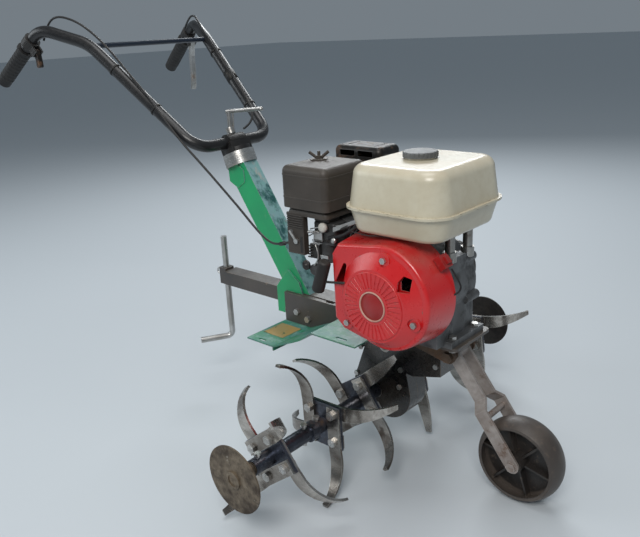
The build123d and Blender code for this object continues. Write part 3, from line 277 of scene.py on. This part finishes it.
def worn_green(name):
    """Column enamel: bright on the sides, chalky turquoise and scraped on the forward face."""
    g = Graph(name)
    broad = g.noise(8.0, 5.0)
    fine = g.noise(90.0, 6.0)
    color = g.blend(g.span(broad, 0.35, 0.7), (0.004, 0.36, 0.12), (0.003, 0.27, 0.10))
    forward = g.maths("MULTIPLY", g.facing((1, 0, 0), 0.45, 0.75), g.span(fine, 0.2, 0.5, 0.75, 1.0))
    streaks = g.noise(30.0, 9.0, (1.0, 1.0, 0.55), 0.72)
    chalk = g.blend(g.span(streaks, 0.38, 0.52), (0.012, 0.075, 0.075), (0.20, 0.36, 0.37))
    color = g.blend(forward, color, chalk)
    scrape = g.span(g.noise(34.0, 9.0, (1.0, 1.0, 0.5), 0.72), 0.60, 0.66)
    scrape = g.maths("MULTIPLY", scrape, g.span(forward, 0, 1, 0.12, 1.0))
    chips = g.maths("MULTIPLY", g.edges(0.0014), g.span(fine, 0.42, 0.60))
    bared = g.maths("MAXIMUM", scrape, chips)
    color = g.blend(bared, color, (0.34, 0.36, 0.33))
    rough = g.span(g.maths("ADD", fine, bared), 0.3, 1.4, 0.36, 0.7)
    return g.surface(color, rough, 0.0, g.chipped(bared), 0.00025, Coat_Weight=0.25, Coat_Roughness=0.3)


def fender_enamel(name):
    """Fender enamel: bright green under a chalky turquoise film, scratched along its length."""
    g = Graph(name)
    fine = g.noise(90.0, 6.0)
    film = g.noise(17.0, 8.0, (0.7, 1.6, 1.0), 0.7)
    color = g.blend(g.span(film, 0.44, 0.56), (0.012, 0.20, 0.10), (0.055, 0.20, 0.17))
    color = g.blend(g.span(g.noise(42.0, 8.0, rough=0.75), 0.5, 0.64, 0, 0.75), color, (0.20, 0.33, 0.29))
    scratch = g.span(g.noise(60.0, 9.0, (0.5, 2.2, 1.0), 0.75), 0.60, 0.68)
    bared = g.maths("MAXIMUM", scratch, g.maths("MULTIPLY", g.edges(0.0015), g.span(fine, 0.4, 0.6)))
    color = g.blend(bared, color, (0.16, 0.15, 0.12))
    rough = g.span(g.maths("ADD", fine, bared), 0.3, 1.4, 0.4, 0.75)
    return g.surface(color, rough, 0.0, g.chipped(bared), 0.00025, Coat_Weight=0.15, Coat_Roughness=0.35)


def disc_steel(name):
    """Rusty disc with scoured streaks; the whole left disc is painted near-black as painted shade."""
    g = Graph(name)
    broad = g.noise(15.0, 7.0, rough=0.65)
    fine = g.noise(110.0, 6.0)
    color = g.blend(g.span(broad, 0.40, 0.60), (0.21, 0.165, 0.115), (0.05, 0.034, 0.022))
    color = g.blend(g.span(fine, 0.42, 0.7, 0, 0.6), color, (0.03, 0.018, 0.011))
    scour = g.span(g.noise(24.0, 9.0, rough=0.75), 0.60, 0.68)
    color = g.blend(scour, color, (0.42, 0.38, 0.32))
    # Painted shade: everything on the left side (Y > 0) is blended to near-black, patchy with the broad
    # noise.
    side = g.node("ShaderNodeSeparateXYZ", {0: g.coord}).outputs["Y"]
    left = g.maths("MULTIPLY", g.span(side, 0.0, 0.05), g.span(broad, 0.2, 0.62, 1.0, 0.75))
    color = g.blend(left, color, (0.012, 0.011, 0.012))
    rough = g.span(g.maths("ADD", fine, broad), 0.5, 1.5, 0.38, 0.75)
    return g.surface(color, rough, g.span(scour, 0, 1, 0.35, 0.8), g.maths("ADD", fine, broad), 0.0003)


def wheel_moulding(name):
    """Scuffed dusty tread round a darker web, told apart by the distance from the wheel's axis in metres."""
    web_ends, tread_starts = 0.0665, 0.070
    g = Graph(name)
    broad = g.noise(12.0, 6.0)
    low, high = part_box("wheel")
    hub = (Vector(low) + Vector(high)) / 2
    flat = g.node("ShaderNodeVectorMath", {0: g.coord, 1: tuple(hub)}, operation="SUBTRACT").outputs[0]
    flat = g.node("ShaderNodeVectorMath", {0: flat, 1: (1, 0, 1)}, operation="MULTIPLY").outputs[0]
    reach = g.node("ShaderNodeVectorMath", {0: flat}, operation="LENGTH").outputs["Value"]
    tread = g.span(reach, web_ends, tread_starts)
    color = g.blend(g.span(broad, 0.35, 0.7), (0.022, 0.019, 0.018), (0.04, 0.033, 0.028))
    worn = g.blend(g.span(broad, 0.38, 0.62), (0.095, 0.078, 0.066), (0.055, 0.045, 0.039))
    color = g.blend(tread, color, worn)
    scuff = g.span(g.noise(70.0, 8.0, rough=0.72), 0.56, 0.68)
    color = g.blend(g.maths("MULTIPLY", scuff, 0.5), color, (0.16, 0.12, 0.09))
    rough = g.span(g.maths("ADD", scuff, broad), 0.2, 1.6, 0.36, 0.75)
    return g.surface(color, rough, 0.0, g.noise(300.0, 3.0), 0.0002)


mats = {
    "frame": paint("frame_black", (0.035, 0.031, 0.029), (0.075, 0.06, 0.05), (0.28, 0.22, 0.17), 0.5, 0.34,
                   dust=(0.17, 0.15, 0.12), dusty=0.35),
    "bar": paint("bar_black", (0.005, 0.005, 0.006), (0.011, 0.010, 0.010), (0.12, 0.10, 0.085), 0.1, 0.3,
                 coat=0.15, dust=(0.03, 0.027, 0.024), dusty=0.1),
    "green": worn_green("green_enamel"),
    "teal": fender_enamel("fender_enamel"),
    "red": paint("red_enamel", (0.50, 0.003, 0.006), (0.62, 0.010, 0.011), (0.30, 0.13, 0.11), 0.1, 0.24,
                 coat=0.6, dust=(0.45, 0.13, 0.11), dusty=0.95),
    "cream": paint("tank_cream", (0.60, 0.56, 0.44), (0.46, 0.40, 0.28), (0.16, 0.11, 0.06), 0.3, 0.28,
                   coat=0.5, dust=(0.58, 0.48, 0.34), dusty=0.6),
    "blue": paint("brace_blue", (0.005, 0.01, 0.022), (0.01, 0.018, 0.032), (0.2, 0.19, 0.18), 0.25, 0.3,
                  dust=(0.10, 0.11, 0.12)),
    "case": paint("case_black", (0.006, 0.0055, 0.0055), (0.03, 0.022, 0.016), (0.17, 0.115, 0.075), 0.5, 0.2,
                  coat=0.6, dust=(0.13, 0.10, 0.075), dusty=0.4),
    "alloy": casting("engine_alloy", (0.17, 0.175, 0.18), (0.085, 0.085, 0.085), 0.45, 0.6,
                     oily=(0.02, 0.017, 0.014), oil=0.6),
    "carb": casting("carburettor_alloy", (0.10, 0.10, 0.10), (0.04, 0.038, 0.036), 0.45, 0.6,
                    oily=(0.012, 0.01, 0.008), oil=0.7),
    "tines": bare_metal("tine_steel", (0.66, 0.62, 0.57), (0.075, 0.058, 0.046), (0.05, 0.028, 0.017),
                        rusty=0.2, rough=0.15, brushed=(0.3, 2.5, 1.0), metal=0.95, scale=0.7),
    "hubs": bare_metal("hub_steel", (0.13, 0.145, 0.18), (0.03, 0.028, 0.032), (0.06, 0.036, 0.024),
                       rusty=0.35, rough=0.22),
    "disc": disc_steel("disc_rust"),
    "zinc": bare_metal("zinc_plate", (0.62, 0.62, 0.61), (0.30, 0.285, 0.26), rusty=0.15, rough=0.24),
    "dark": bare_metal("dark_steel", (0.075, 0.072, 0.072), (0.03, 0.027, 0.024), rusty=0.35, rough=0.35),
    "bracket": bare_metal("bracket_steel", (0.14, 0.095, 0.065), (0.06, 0.04, 0.03), rusty=0.6, rough=0.42,
                          metal=0.5),
    "fork": bare_metal("fork_steel", (0.50, 0.45, 0.42), (0.25, 0.205, 0.18), (0.14, 0.08, 0.05), 0.3, 0.36,
                       metal=0.5),
    "rubber": moulding("black_rubber", (0.008, 0.008, 0.009), (0.02, 0.02, 0.02), 0.6, dusty=0.1,
                       dust=(0.10, 0.09, 0.08)),
    "wheel": wheel_moulding("wheel_moulding"),
    "black": moulding("black_moulding", (0.01, 0.01, 0.011), (0.024, 0.022, 0.02), 0.42, dusty=0.15,
                      dust=(0.11, 0.10, 0.085)),
    "grip": moulding("starter_grip_moulding", (0.009, 0.008, 0.008), (0.03, 0.026, 0.023), 0.5, 260.0, 0.0005,
                     dust=(0.10, 0.085, 0.07)),
    "cleaner": moulding("cleaner_moulding", (0.062, 0.051, 0.042), (0.03, 0.025, 0.021), 0.42, dusty=0.4,
                        dust=(0.12, 0.11, 0.095)),
    "cap": moulding("cap_moulding", (0.13, 0.14, 0.145), (0.07, 0.072, 0.072), 0.42, dusty=0.35,
                    dust=(0.24, 0.24, 0.23)),
    "switch": moulding("switch_red", (0.36, 0.01, 0.01), (0.12, 0.005, 0.005), 0.35),
    "badge": paint("badge_red", (0.33, 0.010, 0.010), (0.24, 0.008, 0.008), (0.42, 0.20, 0.16), 0.2, 0.35),
    "badge_light": paint("badge_cream", (0.58, 0.36, 0.28), (0.45, 0.20, 0.15), (0.3, 0.05, 0.04), 0.5, 0.4),
    "label": paint("label_yellow", (0.42, 0.26, 0.05), (0.26, 0.19, 0.07), (0.05, 0.15, 0.10), 0.95, 0.5,
                   dust=(0.22, 0.21, 0.13), dusty=0.6),
    "white": moulding("white_moulding", (0.55, 0.53, 0.48), (0.40, 0.38, 0.34), 0.4),
    "tape": moulding("black_tape", (0.006, 0.006, 0.006), (0.013, 0.013, 0.013), 0.5, 120.0),
}

look = {
    "frame": ["left_rail", "right_rail", "engine_deck", "drawbar", "belt_guard"],
    "bar": ["handlebar"],
    "green": ["column"],
    "teal": ["left_fender", "right_fender"],
    "red": ["fan_cover", "recoil_housing"],
    "cream": ["fuel_tank"],
    "blue": ["crossbar"],
    "case": ["gear_case", "gear_case_cover", "flywheel"],
    "alloy": ["crankcase", "side_cover", "cylinder_head"],
    "carb": ["carburettor"],
    "tines": ["left_tines", "right_tines"],
    "hubs": ["left_hubs", "right_hubs"],
    "disc": ["hub_discs"],
    "zinc": ["tank_posts", "frame_bolts", "index_ring", "shaft_bearings", "engine_bolts", "tine_axle",
             "tine_bolts", "input_shaft", "crankshaft", "belt_idler", "depth_stake", "clamp_handle",
             "clutch_lever", "choke_lever"],
    "dark": ["drive_chain", "muffler_guard", "driven_pulley", "drive_pulley", "throttle_lever"],
    "bracket": ["wheel_bracket", "muffler"],
    "fork": ["wheel_fork"],
    "rubber": ["spark_plug_cap", "drive_belt", "grips"],
    "wheel": ["wheel"],
    "black": ["saddle", "lever_clamps", "bar_cables", "control_cables"],
    "grip": ["starter_grip"],
    "cleaner": ["air_cleaner_cover", "air_cleaner_base"],
    "cap": ["fuel_cap"],
    "switch": ["engine_switch"],
}


def dress_nodes():
    for key, names in look.items():
        for name in names:
            obj = nodes[name]
            for slot in obj.material_slots:
                slot.material = mats[key]


# ---- pieces -------------------------------------------------------------------------------------
def tube(name, points, radius, mat, body, sides=5):
    """Smooth cable or wire through machine-frame points."""
    curve = bpy.data.curves.new(name + "_line", "CURVE")
    curve.dimensions = "3D"
    curve.bevel_depth = radius / 1000
    curve.bevel_resolution = sides
    curve.use_fill_caps = True
    curve.resolution_u = 10
    spline = curve.splines.new("NURBS")
    spline.points.add(len(points) - 1)
    for point, place in zip(spline.points, points):
        point.co = (*at(*place), 1)
    spline.order_u = 3
    spline.use_endpoint_u = True
    line = bpy.data.objects.new(name + "_line", curve)
    bpy.context.scene.collection.objects.link(line)
    bpy.context.view_layer.update()
    mesh = bpy.data.meshes.new_from_object(line.evaluated_get(bpy.context.evaluated_depsgraph_get()))
    bpy.data.objects.remove(line)
    obj = bpy.data.objects.new(name, mesh)
    bpy.context.scene.collection.objects.link(obj)
    mesh.materials.clear()
    mesh.materials.append(mats[mat])
    for face in mesh.polygons:
        face.use_smooth = True
    if body:
        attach(obj, body)
    return obj


def lathe(name, base, direction, profile, mat, body, sides=48):
    """Turned piece: profile of (distance along the axis, radius) pairs in millimetres."""
    axis = Vector(direction).normalized()
    across = axis.orthogonal().normalized()
    other = axis.cross(across)
    points, faces = [], []
    for along, radius in profile:
        for k in range(sides):
            a = 2 * pi * k / sides
            offset = axis * along + (across * cos(a) + other * sin(a)) * max(radius, 0.01)
            points.append(at(*base) + offset / 1000)
    for row in range(len(profile) - 1):
        for k in range(sides):
            i, j = row * sides + k, row * sides + (k + 1) % sides
            faces.append((i, j, j + sides, i + sides))
    faces.append(tuple(reversed(range(sides))))
    faces.append(tuple(range(len(points) - sides, len(points))))
    return mesh_piece(name, points, faces, mat, body, smooth=True)


def prism(name, outline, depth, mat, body, bevel=0.0):
    """Plate: outline of machine-frame points, thickened by a vector in millimetres."""
    step = Vector(depth) / 1000
    count = len(outline)
    points = [at(*p) for p in outline] + [at(*p) + step for p in outline]
    faces = [tuple(reversed(range(count))), tuple(range(count, 2 * count))]
    faces += [(i, (i + 1) % count, (i + 1) % count + count, i + count) for i in range(count)]
    obj = mesh_piece(name, points, faces, mat, body)
    if bevel:
        edge = obj.modifiers.new("bevel", "BEVEL")
        edge.width = bevel / 1000
        edge.segments = 2
    return obj


def mesh_piece(name, points, faces, mat, body, smooth=False):
    mesh = bpy.data.meshes.new(name)
    mesh.from_pydata([tuple(p) for p in points], [], faces)
    form = bmesh.new()
    form.from_mesh(mesh)
    bmesh.ops.recalc_face_normals(form, faces=form.faces)
    form.to_mesh(mesh)
    form.free()
    obj = bpy.data.objects.new(name, mesh)
    bpy.context.scene.collection.objects.link(obj)
    mesh.materials.append(mats[mat])
    for face in mesh.polygons:
        face.use_smooth = smooth and len(face.vertices) == 4
    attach(obj, body)
    return obj


def wire(name, points, radius, mat, body):
    tube(name, points, radius, mat, body, 3)


def box_piece(name, x, y, z, mat, body, bevel=1.0):
    outline = [(x[0], y[0], z[0]), (x[1], y[0], z[0]), (x[1], y[1], z[0]), (x[0], y[1], z[0])]
    return prism(name, outline, (0, 0, z[1] - z[0]), mat, body, bevel)


def spring(name, start, end, radius, gauge, turns, mat, body):
    """Small coil spring between two points."""
    a, b = Vector(start), Vector(end)
    axis = (b - a).normalized()
    across = axis.orthogonal().normalized()
    other = axis.cross(across)
    points = []
    for k in range(turns * 8 + 1):
        angle = pi / 4 * k
        points.append(a.lerp(b, k / (turns * 8)) + (across * cos(angle) + other * sin(angle)) * radius)
    wire(name, [tuple(p) for p in points], gauge, mat, body)


def starter_badge():
    """Blank round badge and its ring in the middle of the starter dome."""
    x, z, dome_y = 130, 399, -196.6
    out = (0, -1, 0)
    disc = [(0, 27.2), (0.9, 27.2), (1.1, 27.0), (1.1, 0)]
    ring = [(-1, 27.6), (0.9, 27.6), (1.6, 27.0), (1.6, 25.4), (0.9, 24.8), (-1, 24.8)]
    lathe("starter_badge", (x, dome_y, z), out, disc, "badge", "chassis")
    lathe("badge_ring_outer", (x, -198, z), out, ring, "badge_light", "chassis", 64)


def fender_label():
    """Blank worn label on the low part of the right fender."""
    back, front, inner, outer, top = -246, -186, -52, -112, 225.05
    outline = [(back, inner, top), (front, inner, top), (front, outer, top), (back, outer, top)]
    prism("fender_label", outline, (0, 0, 0.5), "label", "chassis", 0.2)


def governor_parts():
    """Governor rods, arm and springs between the throttle and the carburettor."""
    rod = [(-52, -148, 499), (-30, -146, 506), (-6, -143, 511), (20, -138, 514)]
    wire("governor_rod", rod, 1.3, "zinc", "chassis")
    choke = [(-74, -148, 478), (-58, -147, 484), (-44, -146, 492), (-34, -146, 498)]
    wire("choke_rod", choke, 1.2, "zinc", "chassis")
    spring("governor_spring", (-58, -152, 494), (-22, -148, 497), 2.4, 0.5, 14, "zinc", "chassis")
    spring("throttle_spring", (-46, -150, 478), (-4, -146, 482), 2.2, 0.5, 14, "dark", "chassis")
    knob = [(0, 8.4), (5, 9.2), (8, 8.2), (9.5, 5), (10, 0)]
    lathe("fuel_valve_knob", (-13, -152, 509), (0, -1, 0.08), knob, "white", "chassis", 28)
    arm = [(2, -146, 500), (50, -130, 521), (50, -130, 529), (2, -146, 509)]
    prism("governor_arm", arm, (1.5, 3, 0), "zinc", "chassis", 0.5)


def engine_details():
    """Ribs, knobs, wiring and pipes around the carburettor and cylinder."""
    rib_pitch, rib_low, rib_thick = 5.5, 441, 2.4
    for k in range(5):
        z = rib_low + rib_pitch * k
        box_piece(f"drain_rib_{k}", (-63.5, -52), (-147, -143), (z, z + rib_thick), "carb", "chassis",
                  0.5)
    knob = [(0, 9.5), (3.5, 9.5), (4.5, 8.5), (4.5, 2.6), (7, 2.4), (7, 0)]
    lathe("adjuster_knob", (-66, -148, 425), (0, -1, 0.1), knob, "dark", "chassis", 32)
    hose = [(58, -136, 520), (44, -146, 508), (24, -150, 496), (4, -150, 492), (-8, -146, 488)]
    wire("fuel_hose", hose, 3.4, "rubber", "chassis")
    lead = [(-98, 6, 470), (-104, -28, 462), (-70, -50, 450), (-20, -62, 452), (30, -70, 462)]
    wire("ignition_lead", lead, 3.2, "rubber", "chassis")
    over_cover = 514.8
    across = [(62, -163, over_cover), (87, -166, over_cover), (104, -170, over_cover),
              (120, -157, over_cover), (146, -159, over_cover)]
    wire("throttle_wire", across, 0.9, "black", "chassis")
    link = [(-40, -150, 470), (-30, -152, 456), (-34, -152, 440), (-46, -149, 428)]
    wire("governor_link", link, 1.1, "zinc", "chassis")
    screw = [(0, 3.4), (6, 3.4), (6.5, 5.2), (9, 5.2), (9.5, 0)]
    lathe("idle_screw", (8, -146, 486), (0.2, -1, 0.1), screw, "zinc", "chassis", 20)
    box_piece("choke_plate", (-44, -22), (-149.5, -147), (478, 496), "zinc", "chassis", 0.6)
    box_piece("bowl_clip", (-30, -10), (-148.5, -146.5), (446, 452), "zinc", "chassis", 0.5)
    stop = [(238, -118, 466), (247, -112, 448), (252, -106, 428), (240, -118, 417), (228, -130, 420)]
    wire("stop_wire", stop, 1.6, "rubber", "chassis")


def panel_details():
    """Raised louvres, slot and blank plate of the control panel beside the air cleaner."""
    face = -162.9
    louvre_pitch, louvre_low, louvre_thick = 4.4, 503, 1.6
    for k in range(6):
        z = louvre_low + louvre_pitch * k
        box_piece(f"panel_louvre_{k}", (-97, -57), (-164.6, face), (z, z + louvre_thick), "cleaner",
                  "chassis", 0.4)
    box_piece("panel_slot", (-66, -60), (-163.6, face), (454, 486), "black", "chassis", 0.3)
    box_piece("panel_edge", (-97.5, -56.5), (-164.2, face), (450.5, 453), "cleaner", "chassis",
              0.4)
    disc = [(0, 4.6), (0.9, 4.6), (0.9, 3.2), (0.4, 3.2), (0.4, 0)]
    lathe("panel_badge", (-88, face, 492), (0, -1, 0), disc, "cap", "chassis", 28)


def small_fittings():
    """Cable ferrule, and the tape and ties wrapped round the handlebar's arms."""
    ferrule = [(0, 2.6), (0, 4.2), (16, 4.2), (18, 2.6)]
    lathe("throttle_ferrule", (-132, -151, 457), (31, -6, 10), ferrule, "dark", "chassis", 24)
    start, reach = Vector((-416.2, 110.0, 617.5)), Vector((-273.8, 62.0, 228.5))
    wrap_inner, tape_radius, tie_radius = 13.55, 14.5, 15.0
    left, right = 1, -1
    wraps = (("arm_tape", 0.53, left, 32, tape_radius), ("arm_tie_0", 0.28, left, 4, tie_radius),
             ("arm_tie_1", 0.82, left, 4, tie_radius), ("arm_tie_2", 0.36, right, 4, tie_radius),
             ("arm_tie_3", 0.74, right, 4, tie_radius))
    for name, share, side, long, radius in wraps:
        place = start + reach * share
        band = [(0, wrap_inner), (0, radius), (long, radius), (long, wrap_inner)]
        lathe(name, (place.x, place.y * side, place.z), (reach.x, reach.y * side, reach.z), band, "tape",
              "handlebar_group")


def cables():
    """Clutch and throttle cables on the handlebar, and the throttle's free run to the engine."""
    clutch = [(-806, 196, 868), (-790, 203, 900), (-745, 188, 902), (-700, 163, 878), (-655, 151, 845),
              (-600, 138, 802), (-545, 127, 754), (-490, 112, 711), (-448, 96, 670), (-430, 66, 648),
              (-427, 42, 641)]
    throttle = [(-812, -214, 858), (-815, -200, 890), (-775, -196, 912), (-725, -178, 899), (-680, -163, 869),
                (-630, -154, 827), (-580, -150, 780), (-530, -145, 737), (-494, -141, 697)]
    run = [(-494, -141, 697), (-442, -136, 640), (-392, -126, 594), (-342, -117, 546), (-293, -109, 499),
           (-250, -107, 461), (-208, -119, 447), (-168, -137, 448), (-132, -151, 457), (-101, -157, 467)]
    upper = tube("clutch_cable_upper", clutch, 2.5, "black", "handlebar_group")
    throttle_piece = tube("throttle_cable_upper", throttle, 2.5, "black", "handlebar_group")
    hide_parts("bar_cables")
    free = tube("throttle_cable_free", run, 2.5, "black", None)
    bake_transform(free)
    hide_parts("control_cables")


make_camera()
make_stage()
dress_nodes()
cables()
starter_badge()
fender_label()
governor_parts()
engine_details()
panel_details()
small_fittings()
